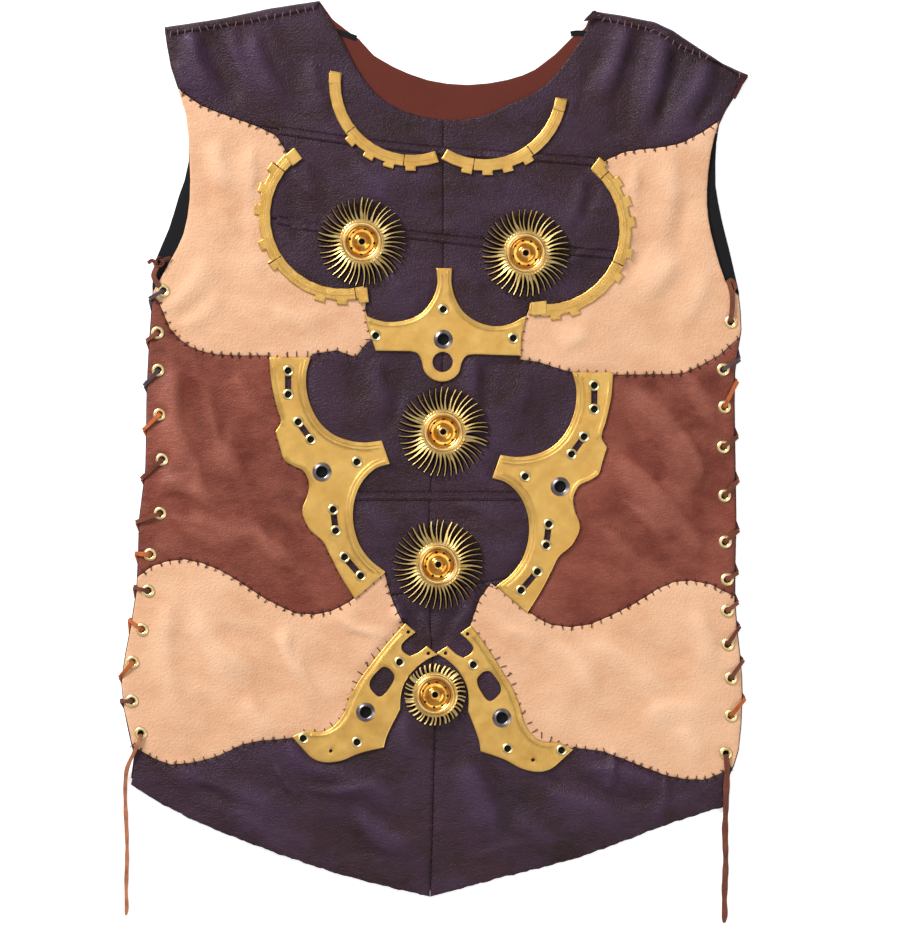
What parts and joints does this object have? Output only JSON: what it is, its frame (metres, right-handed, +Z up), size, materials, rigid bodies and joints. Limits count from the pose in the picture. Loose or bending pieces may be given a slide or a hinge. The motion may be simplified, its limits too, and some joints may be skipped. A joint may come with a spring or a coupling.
{
  "type": "sleeveless patchwork leather bodice with brass fittings",
  "caption": "Hip-length sleeveless costume bodice of patchwork leather, laced up both sides with thongs and set with pierced brass plates, gear arcs and turbine wheels; laid flat.",
  "frame": {"origin": "middle of the garment's footprint, on the surface that its back lies on", "axes": "+Z up out of the front, +Y towards the neck, +X towards the wearer's left side, to the right as seen from above"},
  "size_m": [0.5046, 0.7382, 0.0091],
  "materials": {
    "aubergine_leather": "soft aubergine nappa with a low bluish sheen, creased",
    "chestnut_leather": "chestnut nappa, creased and lightly waxed",
    "tan_leather": "pale tan grain leather, matt",
    "black_leather": "black suede inside",
    "brass_plate": "brushed and lightly hammered sheet brass",
    "brass_wheel": "bright polished brass",
    "eyelet_brass": "pale plated brass",
    "thong_leather": "brown suede thong with raw edges"
  },
  "bodies": {
    "root": {"front_yoke_left": "aubergine_leather", "front_chest_left": "aubergine_leather", "front_waist_left": "aubergine_leather", "front_belly_left": "aubergine_leather", "front_peplum_left": "aubergine_leather", "front_yoke_right": "aubergine_leather", "front_chest_right": "aubergine_leather", "front_waist_right": "aubergine_leather", "front_belly_right": "aubergine_leather", "front_peplum_right": "aubergine_leather", "bust_patch_left": "tan_leather", "hip_patch_left": "tan_leather", "side_front_left": "chestnut_leather", "bust_patch_right": "tan_leather", "hip_patch_right": "tan_leather", "side_front_right": "chestnut_leather", "back_yoke": "aubergine_leather", "back_body": "black_leather", "neck_arc_left": "brass_plate", "bust_arc_left": "brass_plate", "hip_plate_left": "brass_plate", "tail_plate_left": "brass_plate", "neck_arc_right": "brass_plate", "bust_arc_right": "brass_plate", "hip_plate_right": "brass_plate", "tail_plate_right": "brass_plate", "heart_plate": "brass_plate", "turbine_1": "brass_wheel", "turbine_2": "brass_wheel", "turbine_3": "brass_wheel", "turbine_4": "brass_wheel", "turbine_5": "brass_wheel", "eyelet_left_01": "eyelet_brass", "eyelet_left_02": "eyelet_brass", "eyelet_left_03": "eyelet_brass", "eyelet_left_04": "eyelet_brass", "eyelet_left_05": "eyelet_brass", "eyelet_left_06": "eyelet_brass", "eyelet_left_07": "eyelet_brass", "eyelet_left_08": "eyelet_brass", "eyelet_left_09": "eyelet_brass", "eyelet_left_10": "eyelet_brass", "eyelet_left_11": "eyelet_brass", "eyelet_left_12": "eyelet_brass", "eyelet_right_01": "eyelet_brass", "eyelet_right_02": "eyelet_brass", "eyelet_right_03": "eyelet_brass", "eyelet_right_04": "eyelet_brass", "eyelet_right_05": "eyelet_brass", "eyelet_right_06": "eyelet_brass", "eyelet_right_07": "eyelet_brass", "eyelet_right_08": "eyelet_brass", "eyelet_right_09": "eyelet_brass", "eyelet_right_10": "eyelet_brass", "eyelet_right_11": "eyelet_brass", "eyelet_right_12": "eyelet_brass", "side_lace_left": "thong_leather", "lace_end_left": "thong_leather", "side_lace_right": "thong_leather", "lace_end_right": "thong_leather"}
  },
  "joints": []
}
